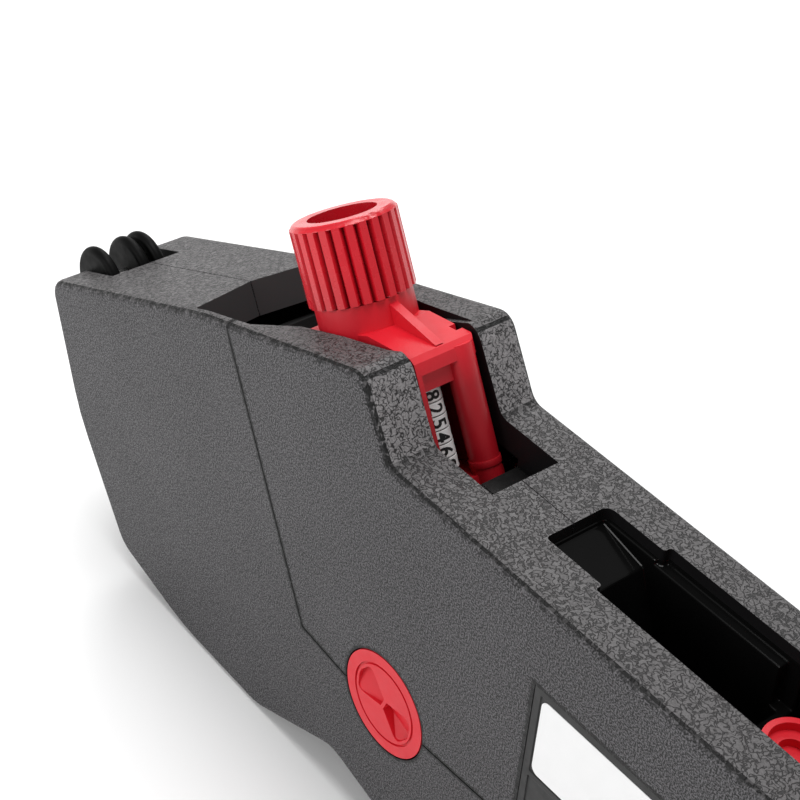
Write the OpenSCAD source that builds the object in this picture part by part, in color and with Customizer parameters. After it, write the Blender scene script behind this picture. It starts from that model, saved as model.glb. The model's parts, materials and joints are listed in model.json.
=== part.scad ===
// Hand-held price labeler, standing on its back with the print head, nose discs and trigger turned up.
// Lengths are in millimetres. +X runs from the nose to the end of the grip, +Z up, -Y is the right side.

/* [Housing] */
// Width of the housing across its two sides
body_w = 34; // [33:0.5:42]
// Wall thickness of the housing and the cover
wall = 2.4; // [2:0.1:2.8]
// Rounding of the long edges
edge_r = 1.7; // [1.2:0.1:3]
// Gap along the seam between housing and cover
seam_gap = 0.3; // [0.2:0.05:0.5]
// Gap between the right and left halves
parting_gap = 0.16; // [0.1:0.02:0.3]
// Height of the grip's top above the surface that the labeler stands on
rest_h = 91.4; // [90:0.2:94]
// Length of the nose in front of the step behind the print head
nose_len = 115.3; // [113:0.5:120]
// Drop of the nose tip below the grip's top
nose_drop = 29; // [27:0.5:31]
// Height of the hump above the grip's top
hump_h = 14.5; // [13:0.5:16]
// Length of the sloped face behind the hump
hump_back = 8.9; // [8:0.1:10]
// Length of the grip behind the step
grip_len = 132; // [130:1:145]
// Depth of the grip
grip_h = 44.5; // [43:0.5:48]
// Sideways place of the print head and the wells
mid_y = 0.8; // [0:0.1:1]

/* [Print head] */
// Forward lean of the knob's axis
head_tilt = 28.7; // [27:0.1:30]
// Print stroke of the head
print_travel = 14; // [10:0.5:15]
// Half width of the head frame
head_half = 7; // [6.8:0.1:7.1]
// Thickness of the frame's thin walls
head_wall = 1; // [0.8:0.1:1.1]
// Outer radius of the knob
knob_r = 10; // [9:0.1:10.5]
// Height of the knob
knob_h = 16; // [13:0.1:17]
// Radius of the cup in the knob's top
knob_cup_r = 6.5; // [5:0.1:7]
// Number of flutes round the knob
flutes = 25; // [20:1:32]
// Radius of the collar below the knob
collar_r = 9.2; // [7:0.1:9.4]
// Height of the collar
collar_h = 5; // [4:0.1:6]
// Number of number bands
bands = 8; // [8]
// Distance from band to band
band_pitch = 2.6; // [2.4:0.1:2.7]
// Width of one band
band_w = 2.35; // [1.8:0.05:2.4]
// Thickness of a band
band_t = 0.8; // [0.6:0.1:1]
// Radius of the knob's shaft
shaft_r = 2; // [1.6:0.1:2.1]

/* [Trigger] */
// Angle that the trigger turns when it is squeezed
trigger_swing = 24; // [16:1:26]
// Length of the trigger's lower arm
trigger_arm = 27; // [24:0.5:28]
// Radius of the pins of trigger, link and hinge
pin_r = 2; // [1.5:0.1:2.2]
// Gap between the trigger's sides and its well
trigger_gap = 0.4; // [0.3:0.05:0.6]

/* [Wells] */
// Start of the trigger well behind the step
well_s = 28; // [26:0.5:30]
// Place where the well gets wider
well_step_s = 41.5; // [38:0.5:44]
// Half width of the narrow front of the well
well_front_half = 7; // [6:0.1:7.4]
// Half width of the well
well_half = 8.5; // [8:0.1:9]
// Rear end of the slot behind the head
slot_end_s = 15; // [12:0.5:18]
// Half width of the slot behind the head
slot_half = 7.5; // [7.4:0.1:8]

/* [Latch] */
// Radius of the latch knob
latch_r = 11.1; // [9:0.1:12]
// Place of the latch behind the step
latch_s = 4.1; // [2:0.1:6]

/* [Label path] */
// Radius of the applicator discs
disc_r = 8.4; // [7.5:0.1:9]
// Thickness of an applicator disc
disc_w = 2.6; // [1.8:0.1:3]
// Radius of the label roll's hub
hub_r = 12.3; // [10:0.1:14]
// Radius of the feed wheel
feed_r = 9; // [7:0.1:10]
// Radius of the ink roller
ink_r = 3.3; // [2.8:0.1:3.4]

/* [Hidden] */
$fn = 48;

// Clearances
run = 0.06;      // radial, shaft in a turning bore
seat = 0.2;      // between pieces that are set beside each other
over = 1;        // how far a cut runs past a face
far_out = 200;   // past every outer face
skim = 0.03;     // taken off each flat side of a rounded slab

// Steps of the rounded forms
arc_step = 14;
edge_steps = 4;

// Driving places, measured from the foot of the step behind the print head: s to the rear, n up
shoulder_s = -57.4;
shoulder_n = -2.6;
belly_n = -rest_h;
hinge_s = 82;
hinge_n = -51.5;
latch_n = -54.7;
roll_s = 32;
roll_n = -49.5;
pivot_s = 84;
pivot_n = -11;
head_s = -29;
head_n = 6.05;
disc_s = 6 - nose_len;
disc_n = -1 - nose_drop;

half_in = body_w / 2 - wall;

// Side outline of the whole labeler, clockwise from the nose tip: s, n, corner radius
outline_corners = [
    [-nose_len, -nose_drop, 4],
    [shoulder_s, shoulder_n, 20],
    [-hump_back, hump_h, 4],
    [0, 0, 3],
    [grip_len, 0, 11],
    [grip_len - 5, -grip_h, 13],
    [hinge_s - 3, -grip_h, 4],
    [hinge_s - 6, -62, 20],
    [65, belly_n, 20],
    [30, belly_n, 50],
    [-10.5, belly_n + 10.6, 8],
    [-36, belly_n, 10],
    [-64, belly_n, 40],
    [26.7 - nose_len, -85.6, 8],
    [9.3 - nose_len, -59, 40]];

// Seam between housing and cover, from the top down and then to the rear
seam_line = [
    [-50.2, 3], [-21.4, -55.6], [-8, -57], [34, -53.6],
    [hinge_s - 4, -51.9], [hinge_s + 8, -51.5]];

function unit(v) = v / norm(v);

function right_normal(a, b) = let (u = unit(b - a)) [u[1], -u[0]];

// Points of the arc that rounds corner b between its neighbours a and c
function corner_arc(a, b, c) =
    let (p = [b[0], b[1]],
         d1 = unit([a[0], a[1]] - p),
         d2 = unit([c[0], c[1]] - p),
         half = acos(d1 * d2) / 2,
         centre = p + unit(d1 + d2) * b[2] / sin(half),
         v1 = p + d1 * b[2] / tan(half) - centre,
         v2 = p + d2 * b[2] / tan(half) - centre,
         a1 = atan2(v1[1], v1[0]),
         raw = atan2(v2[1], v2[0]) - a1,
         turn = raw > 180 ? raw - 360 : raw < -180 ? raw + 360 : raw,
         steps = max(2, ceil(abs(turn) / arc_step)))
    [for (i = [0:steps]) centre + b[2] * [cos(a1 + turn * i / steps), sin(a1 + turn * i / steps)]];

function rounded(pts) =
    let (n = len(pts))
    [for (i = [0:n - 1]) each corner_arc(pts[(i + n - 1) % n], pts[i], pts[(i + 1) % n])];

// A clockwise outline moved inwards by d
function inset(pts, d) =
    let (n = len(pts))
    [for (i = [0:n - 1])
        let (n1 = right_normal(pts[(i + n - 1) % n], pts[i]),
             n2 = right_normal(pts[i], pts[(i + 1) % n]))
        pts[i] + d * (n1 + n2) / (1 + n1 * n2)];

function reversed(pts) = [for (i = [len(pts) - 1:-1:0]) pts[i]];

outline = rounded(outline_corners);
rear_reach = max([for (p = outline) p[0]]);
front_reach = disc_s - disc_r;
cover_region = inset(concat(
    [[-far_out, far_out], [seam_line[0][0], far_out]], seam_line,
    [[hinge_s + 8, -far_out], [-far_out, -far_out]]), seam_gap / 2);
main_region = inset(concat(
    [[seam_line[0][0], far_out], [far_out, far_out], [far_out, seam_line[5][1]]],
    reversed(seam_line)), seam_gap / 2);

// Places in the print head's own frame, whose origin is on the knob's axis at the top plate
plate_t = 2.6;
stack_top = -5.3;
band_mid = [for (i = [0:bands - 1]) stack_top - band_pitch / 2 - band_pitch * i];
stack_end = stack_top - band_pitch * bands;
floor_top = stack_end - 2.2;
floor_t = 2.5;
floor_end = floor_top - floor_t;
head_back = 21.4;
lip_x = head_back - 1.6;
lip_end = -6.9;
idler_x = 15.5;
idler_y = -2.6;
idler_r = 1.5;
idler_top = -3.8;
loop_r = 3.1;
blind_x = idler_x + loop_r + 0.35;
blind_end = stack_top - 2 * band_pitch + 0.2;
front_x = -20.6;
wheel_r = 4.4;
column_r = 2.8;
column_x = 19.4;
foot_ring = 0.2;
column_y = head_half - column_r - foot_ring;
tongue_z = -15;
tongue_h = 4;
tongue_out = 2.2;
sleeve_r = 2.9;
sleeve_z = band_mid[bands - 1] + 1.3;
selector_travel = band_pitch * (bands - 1);
knob_z = collar_h + seat;
corner_r = 1.6;
lug_x = 18;
lug_z = floor_end - 2.5;
rail_front = -20;
rail_back = 6;
platen_x = front_x - print_travel - 0.5;
ink_pivot = [-26.5, -39.5];
ink_reach = 13;
ink_rest = 100;

// Circles that a band runs round: x, y and radius of its outer face
band_turns = [
    [idler_x, idler_y, loop_r], [0, 0, wheel_r + band_t],
    [front_x + 1.6, 2.6, 1.6], [front_x + 1.6, -2.6, 1.6]];

// Outline of the opening over the head, near side first, as x in the head's frame and y
rim = 1.8;
rim_t = 1.8;
rim_end = 0.5;
opening_front = -33.5;
opening_bow = 4;
opening_near = [
    [opening_front, -body_w / 2 + rim], [-15.5, -body_w / 2 + rim + 0.6],
    [-6, -9.8], [5, mid_y - slot_half - 1.7], [40, mid_y - slot_half]];
function mirrored_y(y) = min(2 * mid_y - y, body_w / 2 - rim);
opening_shape = concat(
    reversed(opening_near), [[opening_front - opening_bow, 0]],
    [for (p = opening_near) [p[0], mirrored_y(p[1])]]);

// Floor of the slot behind the head
pocket_s = 5.4;
pocket_n = -7.8;
pocket_t = 1.6;

// A place in the head's frame, given as s and n
function head_to_body(p) =
    [head_s + p[0] * cos(head_tilt) - p[1] * sin(head_tilt),
     head_n + p[0] * sin(head_tilt) + p[1] * cos(head_tilt)];

// Screws and bosses
screw_r = 1.5;
boss_r = 3.2;
head_sink = 2.2;
screw_head_r = 2.8;
main_bosses = [[21.4, -12], [-10, -48], [grip_len - 34, -37], [grip_len - 12, -32]];
cover_bosses = [[31.3 - nose_len, -70], [-46, -82], [70, -68]];

// Latches
keeper_n = latch_n - 5;
lug_in = half_in - 2.2;
cam_t = 1.3;
latch_bore = 3;
scoop_turn = 20;
scoop_d = 1.9;
scoop_r = latch_r - 3.1;

// Side panel
panel_s = 40.4;
panel_len = 33;
panel_n = -17.3;
panel_h = 33;
panel_t = 0.9;

// Plan of the trigger well: s, y, corner radius
well_end = grip_len - 7;
well_outline = rounded([
    [well_s, mid_y - well_front_half, 0.8], [well_s, mid_y + well_front_half, 1.8],
    [well_step_s, mid_y + well_front_half, 0.6], [well_step_s, mid_y + well_half, 0.6],
    [well_end, mid_y + well_half, 3], [well_end, mid_y - well_half, 3],
    [well_step_s, mid_y - well_half, 0.6], [well_step_s, mid_y - well_front_half, 0.6]]);

// Tray of the trigger well
liner_lip = -3.4;
ramp_s = well_step_s - 3;
ramp_n = -5.4;
liner_end = pivot_s - 12.5;
liner_floor = -18;
liner_t = 1.4;

// Return spring
spring_s = grip_len - 25;
spring_r = 4;
wire_r = 0.5;
spring_turns = 8;
spring_foot = -grip_h + wall + wire_r + 0.1;
spring_top = -6.4;

// Label path
feed_at = [-66, -46];
feed_seat = 7;
hub_seat = half_in - 3.8;
ink_seat = 9.4;
ink_at = head_to_body(ink_pivot);
disc_y = [-7.4, 0, 3.6];
slot_y0 = disc_y[0] - disc_w / 2 - 0.7;
slot_y1 = disc_y[2] + disc_w / 2 + 2.4;
disc_bore = 1.5;

// Trigger and drive link
arm_lean = trigger_swing / 2;
arm_end = [pivot_s, pivot_n] + trigger_arm * [sin(arm_lean), -cos(arm_lean)];
link_t = 2.2;
link_y = half_in - link_t - 1.5;
link_pin_r = 1.6;
link_front = head_to_body([lug_x, lug_z]);

// Placing
module at_body() translate([-(rear_reach + front_reach) / 2, 0, rest_h]) children();
module at_head() at_body() translate([head_s, mid_y, head_n]) rotate([0, -head_tilt, 0]) children();

// A side outline drawn in s and n, made solid from y0 to y1
module slab(y0, y1) translate([0, y1, 0]) rotate([90, 0, 0]) linear_extrude(y1 - y0) children();

// A round bar across the labeler, from y0 to y1
module bar(p, r, y0, y1) translate([p[0], y0, p[1]]) rotate([-90, 0, 0]) cylinder(r = r, h = y1 - y0);

// A box between two corners
module box(a, b) translate(a) cube(b - a);

// A side outline made solid over width w, with its edges rounded
module rounded_slab(pts, w, r) {
    n = len(pts);
    half = w / 2 + skim;
    near = [for (i = [0:edge_steps])
        let (a = 90 * i / edge_steps) [-half + r - r * cos(a), r - r * sin(a)]];
    rings = concat(near, [for (g = reversed(near)) [-g[0], g[1]]]);
    last = len(rings) - 1;
    loops = [for (g = rings) inset(pts, g[1])];
    verts = [for (k = [0:last]) each [for (p = loops[k]) [p[0], rings[k][0], p[1]]]];
    sides = [for (k = [0:last - 1]) each [for (i = [0:n - 1]) each
        let (a = k * n + i, b = k * n + (i + 1) % n) [[a, a + n, b + n], [a, b + n, b]]]];
    caps = [[for (i = [0:n - 1]) i], [for (i = [n - 1:-1:0]) last * n + i]];
    intersection() {
        polyhedron(verts, concat(caps, sides));
        box([-far_out, -w / 2, -far_out], [far_out, w / 2, far_out]);
    }
}

// Housing and cover
// The opening over the head, grown by g
module head_window(g, depth) {
    translate([head_s, 0, head_n])
        rotate([0, -head_tilt, 0])
            translate([0, 0, -depth])
                linear_extrude(40 + depth) polygon(inset(opening_shape, -g));
}

// The slot behind the head, grown by g
module slot_box(s0, s1, n0, g) box([s0, mid_y - slot_half - g, n0], [s1 + g, mid_y + slot_half + g, 30]);

module head_opening(depth) {
    head_window(0, depth);
    slot_box(-25, pocket_s, -9 - depth, 0);
    slot_box(pocket_s - over, slot_end_s, pocket_n, 0);
}

module well_opening() {
    translate([0, 0, -wall - over]) linear_extrude(30) polygon(well_outline);
}

module one_side(side) {
    y0 = side > 0 ? parting_gap / 2 : -far_out;
    translate([-far_out, y0, -far_out]) cube([2 * far_out, far_out - parting_gap / 2, 2 * far_out]);
}

module shell(region) {
    intersection() {
        difference() {
            rounded_slab(outline, body_w, edge_r);
            slab(-half_in, half_in) polygon(inset(outline, wall));
        }
        slab(-body_w, body_w) polygon(region);
    }
    // rim that turns down round the opening over the head
    intersection() {
        difference() {
            slab(-half_in - seat, half_in + seat) polygon(inset(outline, wall / 2));
            head_opening(4);
        }
        union() {
            head_window(rim_t, rim_end);
            slot_box(-9, slot_end_s, -6, rim_t);
            slot_box(pocket_s, slot_end_s, pocket_n - pocket_t, rim_t);
        }
        slab(-body_w, body_w) polygon(region);
    }
}

module bosses(places, side, side_r) {
    y0 = side > 0 ? parting_gap / 2 : -half_in - seat;
    for (p = places) bar(p, side_r, y0, y0 + half_in + seat - parting_gap / 2);
}

module screw_holes(places, side) {
    for (p = places) {
        bar(p, side > 0 ? screw_r + 0.1 : screw_r, -half_in + over, body_w);
        if (side > 0) bar(p, screw_head_r + 0.2, body_w / 2 - head_sink, body_w);
    }
}

module latch_hole() bar([latch_s, latch_n], latch_r + 0.3, -body_w, body_w);

// Bearing lug of a latch, carried by the housing behind the wall
module latch_lug(side) {
    outer = half_in - seat;
    mirror([0, side > 0 ? 0 : 1, 0]) {
        bar([latch_s, latch_n], latch_r + 1, lug_in, outer);
        box([latch_s - 9, lug_in, latch_n], [latch_s + 9, outer, latch_n + 19]);
        box([latch_s - 9, outer - seat, latch_n + latch_r + 1.5],
            [latch_s + 9, half_in + seat, latch_n + 19]);
    }
}

module hinge_barrel(y0, y1) bar([hinge_s, hinge_n], pin_r + 1.4, y0, y1);

module main_half(side) {
    ym = side > 0 ? 0 : 1;
    difference() {
        union() {
            intersection() {
                shell(main_region);
                one_side(side);
            }
            bosses(main_bosses, side, boss_r);
            mirror([0, ym, 0]) {
                hinge_barrel(6.2, half_in - 1.6);
                box([hinge_s - 1.5, 6.2, hinge_n], [hinge_s + 3, half_in - 1.6, -grip_h + wall / 2]);
                bar([pivot_s, pivot_n], pin_r + 2, well_half + mid_y + 0.6, half_in + seat);
                bar([roll_s, roll_n], pin_r + 1.6, hub_seat, half_in + seat);
            }
            latch_lug(side);
        }
        head_opening(2);
        well_opening();
        latch_hole_main(side);
        screw_holes(main_bosses, side);
        bar([hinge_s, hinge_n], pin_r - 0.4, -body_w, body_w);
        bar([pivot_s, pivot_n], pin_r, -half_in, half_in);
        bar([roll_s, roll_n], pin_r, -half_in, half_in);
        bar([latch_s, latch_n], latch_bore + run, -body_w, body_w);
        if (side < 0) panel_recess();
    }
}

module latch_hole_main(side) {
    mirror([0, side > 0 ? 0 : 1, 0]) bar([latch_s, latch_n], latch_r + 0.3, half_in - seat, body_w);
}

module main_housing_right() color("dimgray") at_body() main_half(-1);
module main_housing_left() color("dimgray") at_body() main_half(1);

// Keeper on the cover that the latch's cam holds
module keeper(side) {
    mirror([0, side > 0 ? 0 : 1, 0]) {
        y0 = lug_in - seat - cam_t - 0.1;
        box([latch_s + 3.4, y0, keeper_n - 1.5], [latch_s + 16, lug_in - seat, keeper_n + 1]);
        box([latch_s + 12.8, y0, keeper_n - 1.5], [latch_s + 16, half_in + seat, keeper_n + 1]);
    }
}

module cover_half(side) {
    ym = side > 0 ? 0 : 1;
    y0 = side > 0 ? parting_gap / 2 : -6;
    difference() {
        union() {
            intersection() {
                shell(cover_region);
                one_side(side);
            }
            bosses(cover_bosses, side, boss_r);
            hinge_barrel(y0, y0 + 6 - parting_gap / 2);
            box([hinge_s - 8, y0, hinge_n - 3.4], [hinge_s, y0 + 6 - parting_gap / 2, hinge_n - 1]);
            keeper(side);
            intersection() {
                mirror([0, ym, 0]) {
                    bar([disc_s, disc_n], 3.4, (side > 0 ? slot_y1 : -slot_y0) + 0.4, half_in + seat);
                    bar(feed_at, pin_r + 1.6, feed_seat, half_in + seat);
                    bar(ink_at, pin_r + 1.2, ink_seat, half_in + seat);
                }
                slab(-body_w, body_w) polygon(inset(outline, wall / 2));
            }
        }
        head_opening(2);
        nose_slot();
        latch_hole();
        screw_holes(cover_bosses, side);
        bar([hinge_s, hinge_n], pin_r - 0.4 + run, -body_w, body_w);
        bar([disc_s, disc_n], disc_bore + run, -half_in, half_in);
        bar(feed_at, pin_r, -half_in, half_in);
        bar(ink_at, pin_r - 0.4, -half_in, half_in);
    }
}

// Slot for the applicator discs at the nose tip
module nose_slot() {
    box([-nose_len - 6, slot_y0, disc_n - disc_r - 1], [disc_s + disc_r - 0.8, slot_y1, disc_n + 20]);
}

module front_cover_right() color("dimgray") at_body() cover_half(-1);
module front_cover_left() color("dimgray") at_body() cover_half(1);

// Side panel
module panel_shape(g) {
    translate([panel_s + g, panel_n - panel_h + g]) square([panel_len - 2 * g, panel_h - 2 * g]);
}

module panel_recess() slab(-body_w, -body_w / 2 + panel_t) panel_shape(0);

module label_panel() color("#2b2b2e") at_body() difference() {
    slab(-body_w / 2 + 0.1, -body_w / 2 + panel_t) panel_shape(0.05);
    slab(-body_w, -body_w / 2 + 0.35) {
        translate([panel_s + 1.6, panel_n - 19.6]) square([panel_len - 3.2, 18.2]);
        translate([panel_s + 1.6, panel_n - panel_h + 1.2]) square([panel_len - 3.2, panel_h - 22]);
    }
}

// Glossy tray below the front of the trigger well
module well_liner() color("#101012") at_body() {
    top = -wall - 0.05;
    y1 = well_half + mid_y + liner_t;
    difference() {
        slab(2 * mid_y - y1, y1)
            polygon([[well_s - 2, top], [liner_end, top], [liner_end, liner_floor - liner_t],
                     [well_step_s - 5, liner_floor - liner_t], [well_s - 2, ramp_n - 2]]);
        // upper part follows the well's own outline
        intersection() {
            translate([0, 0, liner_lip]) linear_extrude(30) polygon(well_outline);
            box([well_step_s - 1, -body_w, liner_lip - over], [liner_end - liner_t, body_w, over]);
        }
        // ramp and trough
        slab(mid_y - well_front_half + 0.8, mid_y + well_front_half - 0.8)
            polygon([[well_s + 0.4, over], [liner_end - liner_t, over],
                     [liner_end - liner_t, liner_floor], [well_step_s + 2, liner_floor],
                     [ramp_s, ramp_n], [well_s + 0.4, liner_lip + 0.3]]);
        box([liner_end - 3, mid_y - well_half, -12], [liner_end + over, mid_y + well_half, over]);
    }
}

// Rails of the print head, one on each side wall
module rail(side) {
    y_wall = side > 0 ? half_in - mid_y : half_in + mid_y;
    mirror([0, side > 0 ? 0 : 1, 0]) difference() {
        box([rail_front, head_half + seat, tongue_z - 6], [rail_back, y_wall - 0.05, tongue_z + 6]);
        box([rail_front - over, 0, tongue_z - tongue_h / 2 - 0.1],
            [head_back, head_half + tongue_out + seat, tongue_z + tongue_h / 2 + 0.1]);
    }
}
module head_rail_right() color("#1c1c1e") at_head() rail(-1);
module head_rail_left() color("#1c1c1e") at_head() rail(1);

module roll_spindle() color("silver") at_body() bar([roll_s, roll_n], pin_r, -half_in + 0.3, half_in - 0.3);
module trigger_pin() color("silver") at_body() bar([pivot_s, pivot_n], pin_r, -half_in + 0.3, half_in - 0.3);
module hinge_pin() color("silver") at_body()
    bar([hinge_s, hinge_n], pin_r - 0.4, -half_in + 1.2, half_in - 1.2);

// Screws that hold the two halves, put in from the left
module screws(places) {
    for (p = places) {
        bar(p, screw_r, -half_in + over + 0.4, body_w / 2 - head_sink);
        difference() {
            bar(p, screw_head_r, body_w / 2 - head_sink, body_w / 2 - 0.5);
            translate([p[0], body_w / 2 - 1.3, p[1]]) {
                translate([-0.35, 0, -1.7]) cube([0.7, 2, 3.4]);
                translate([-1.7, 0, -0.35]) cube([3.4, 2, 0.7]);
            }
        }
    }
}
module housing_screws() color("silver") at_body() screws(main_bosses);
module cover_screws() color("silver") at_body() screws(cover_bosses);

// Return spring of the trigger, standing in the grip
function spring_point(t) =
    [spring_r * cos(360 * t), spring_r * sin(360 * t), (spring_top - spring_foot) * t / spring_turns];

module trigger_spring() color("silver") at_body() translate([spring_s, mid_y, spring_foot]) {
    per_turn = 10;
    count = spring_turns * per_turn;
    sides = 6;
    rise = atan2((spring_top - spring_foot) / spring_turns, 360 * spring_r * PI / 180);
    verts = [for (i = [0:count]) each [for (k = [0:sides - 1])
        let (t = i / per_turn, a = 360 * t, b = 360 * k / sides,
             out = [cos(a), sin(a), 0],
             up = [sin(a) * sin(rise), -cos(a) * sin(rise), cos(rise)])
        spring_point(t) + wire_r * (cos(b) * out + sin(b) * up)]];
    walls = [for (i = [0:count - 1]) each [for (k = [0:sides - 1]) each
        let (a = i * sides + k, b = i * sides + (k + 1) % sides)
        [[a, b, b + sides], [a, b + sides, a + sides]]]];
    ends = [[for (k = [sides - 1:-1:0]) k], [for (k = [0:sides - 1]) count * sides + k]];
    line = [for (i = [0:count]) spring_point(i / per_turn)];
    apart = [for (i = [0:count]) for (k = [i:count]) if (k - i > per_turn / 2) norm(line[k] - line[i])];
    echo(least_gap_of_spring = min(apart) - 2 * wire_r);
    polyhedron(verts, concat(walls, ends));
}

// Label path in the cover
module platen() color("#3a3a3c") at_head() {
    box([platen_x - 3, -half_in - mid_y + seat, stack_end + 0.6],
        [platen_x, half_in - mid_y - seat, stack_top + 1.5]);
}

module label_guide() color("#1c1c1e") at_body() {
    start = [shoulder_s - 14, shoulder_n - 12];
    end = [disc_s + disc_r + 2.5, disc_n + 3.1];
    slab(-half_in + seat, half_in - seat)
        polygon([start, end, end + [0.6, -1.4], start + [0.8, -1.6]]);
}

module peel_bar() color("silver") at_body() {
    bar([disc_s + 8, disc_n - 6.5], 1.6, -half_in + seat, half_in - seat);
}
module feed_shaft() color("silver") at_body() bar(feed_at, pin_r, -half_in + 0.3, half_in - 0.3);
module ink_pin() color("silver") at_body() bar(ink_at, pin_r - 0.4, -half_in + 0.3, half_in - 0.3);

module feed_wheel() color("#e8e4da") at_body() difference() {
    union() {
        bar(feed_at, feed_r - 1, -feed_seat + seat, feed_seat - seat);
        for (i = [0:15])
            translate([feed_at[0], 0, feed_at[1]])
                rotate([0, 22.5 * i, 0])
                    box([feed_r - 2, -1.2, -0.7], [feed_r, 1.2, 0.7]);
    }
    bar(feed_at, pin_r + run, -body_w, body_w);
}

module ink_arm() color("#1c1c1e") at_head() {
    a = ink_rest;
    tip = ink_pivot + ink_reach * [cos(a), sin(a)];
    for (y = [-8.6, 6.6]) difference() {
        union() {
            bar(ink_pivot, 3, y, y + 2);
            bar(tip, 2.2, y, y + 2);
            translate([ink_pivot[0], y, ink_pivot[1]]) rotate([0, -a, 0])
                box([0, 0, -1.8], [ink_reach, 2, 1.8]);
        }
        bar(ink_pivot, pin_r - 0.4 + run, y - over, y + 3);
        bar(tip, 1, y - over, y + 3);
    }
    difference() {
        bar(ink_pivot, 3, -6.7, 6.7);
        bar(ink_pivot, pin_r - 0.4 + run, -9, 9);
    }
}

module ink_axle() color("silver") at_head() {
    bar(ink_pivot + ink_reach * [cos(ink_rest), sin(ink_rest)], 1, -8.4, 8.4);
}

module ink_roller() color("#26263a") at_head() difference() {
    tip = ink_pivot + ink_reach * [cos(ink_rest), sin(ink_rest)];
    bar(tip, ink_r, -6.2, 6.2);
    bar(tip, 1 + run, -7, 7);
}

// Print head
module loop_shape(d) hull() for (c = band_turns) translate([c[0], c[1]]) circle(r = c[2] - d, $fn = 32);

module number_band(i) color("gainsboro") at_head() translate([0, 0, band_mid[i - 1] - band_w / 2])
    linear_extrude(band_w) difference() {
        loop_shape(0);
        loop_shape(band_t);
    }

module head_frame() color("#c8202c") at_head() difference() {
    union() {
        // top plate, sloping to the rear lip
        slab(-head_half, head_half)
            polygon([[-11, 0], [collar_r, 0], [head_back - 0.9, -3.5], [head_back, -4.6],
                     [head_back, lip_end], [lip_x, lip_end], [lip_x, stack_top],
                     [collar_r, -plate_t], [-11, -plate_t]]);
        translate([0, 0, -plate_t]) cylinder(r = collar_r, h = plate_t + collar_h);
        // gusset from collar to rear lip
        slab(-0.9, 0.9)
            polygon([[collar_r - 1, collar_h - 0.4], [head_back - 1.2, -3.2], [collar_r - 1, -1]]);
        // window posts
        box([head_back - 2, -head_half, floor_end], [head_back, -head_half + head_wall, -5]);
        translate([column_x, column_y, floor_end]) cylinder(r = column_r, h = -4.4 - floor_end);
        translate([column_x, column_y, stack_end - 1]) cylinder(r = column_r + foot_ring, h = 1.2);
        // blind over the two bands that don't show
        box([blind_x, -head_half, blind_end], [lip_x + 0.2, column_y, stack_top + 0.2]);
        // side walls and floor
        for (y = [-head_half, head_half - head_wall])
            box([-16, y, floor_end], [head_back - 2, y + head_wall, -plate_t + 0.4]);
        box([-16, -head_half, floor_end], [head_back - 1.2, head_half, floor_top]);
        // sliding tongues
        for (y = [-head_half - tongue_out, head_half - 0.2])
            box([-14, y, tongue_z - tongue_h / 2], [8, y + tongue_out + 0.2, tongue_z + tongue_h / 2]);
        // lug and pin for the drive link
        box([lug_x - 3, 2, lug_z - 3], [lug_x + 2.5, head_half, floor_end + 0.5]);
        bar([lug_x, lug_z], link_pin_r, head_half - 1, link_y + link_t + 0.3 - mid_y);
    }
    translate([0, 0, -plate_t - over]) cylinder(r = sleeve_r + run, h = plate_t + collar_h + 2 * over);
    translate([0, 0, floor_end - over]) cylinder(r = shaft_r + run, h = floor_t + 2 * over);
    translate([idler_x, idler_y, floor_end - over])
        cylinder(r = idler_r, h = idler_top + 0.1 + over - floor_end);
    // notch at the far side of the plate, and the plate's rounded corner
    box([head_back - 5.4, head_half - 1.4, -3.9], [head_back - 3.4, head_half + over, 2]);
    translate([head_back - corner_r, head_half - corner_r, lip_end - over]) difference() {
        cube([2 * corner_r, 2 * corner_r, 10]);
        cylinder(r = corner_r, h = 10);
    }
}

module type_anvil() color("#1c1c1e") at_head() {
    y1 = head_half - head_wall - 0.1;
    box([front_x + band_t + 0.1, -2.6, floor_top + 0.05], [front_x + 5, 2.6, -plate_t - 0.1]);
    box([front_x + band_t + 0.1, -y1, -plate_t - 1.7], [-11.4, y1, -plate_t - 0.1]);
    box([front_x + band_t + 0.1, -y1, floor_top + 0.05], [-11.4, y1, floor_top + 1.6]);
}

module idler_pin() color("silver") at_head() translate([idler_x, idler_y, floor_end + 0.2])
    cylinder(r = idler_r, h = idler_top - 0.2 - floor_end);

module band_bar() color("#1c1c1e") at_head() translate([idler_x, idler_y, floor_top + 0.3]) difference() {
    cylinder(r = loop_r - band_t - 0.1, h = stack_top - floor_top - 0.2);
    translate([0, 0, -over]) cylinder(r = idler_r + run, h = 40);
}

module selector_sleeve() color("#2a2a2c") at_head() translate([0, 0, sleeve_z]) difference() {
    cylinder(r = sleeve_r, h = knob_z - 0.1 - sleeve_z);
    translate([0, 0, -over]) cylinder(r = shaft_r + run, h = 60);
}

module knob() color("#d0232f") at_head() translate([0, 0, knob_z]) difference() {
    flute_d = 1.15;
    chamfer = 1.3;
    pitch = 360 / flutes;
    union() {
        linear_extrude(knob_h - chamfer + 0.1) polygon([for (i = [0:flutes - 1]) each
            [for (c = [[-0.5, 0], [-0.27, 1], [0.27, 1]])
                (knob_r - flute_d * (1 - c[1])) * [cos(pitch * (i + c[0])), sin(pitch * (i + c[0]))]]]);
        translate([0, 0, knob_h - chamfer]) cylinder(r1 = knob_r - 0.02, r2 = knob_r - 1, h = chamfer);
    }
    translate([0, 0, knob_h - 9]) cylinder(r = knob_cup_r, h = 10);
    translate([0, 0, -over]) cylinder(r = shaft_r, h = 20);
}

module knob_shaft() color("silver") at_head() translate([0, 0, floor_end - selector_travel - 1])
    cylinder(r = shaft_r, h = knob_z + knob_h - 10 - floor_end + selector_travel + 1);

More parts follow.
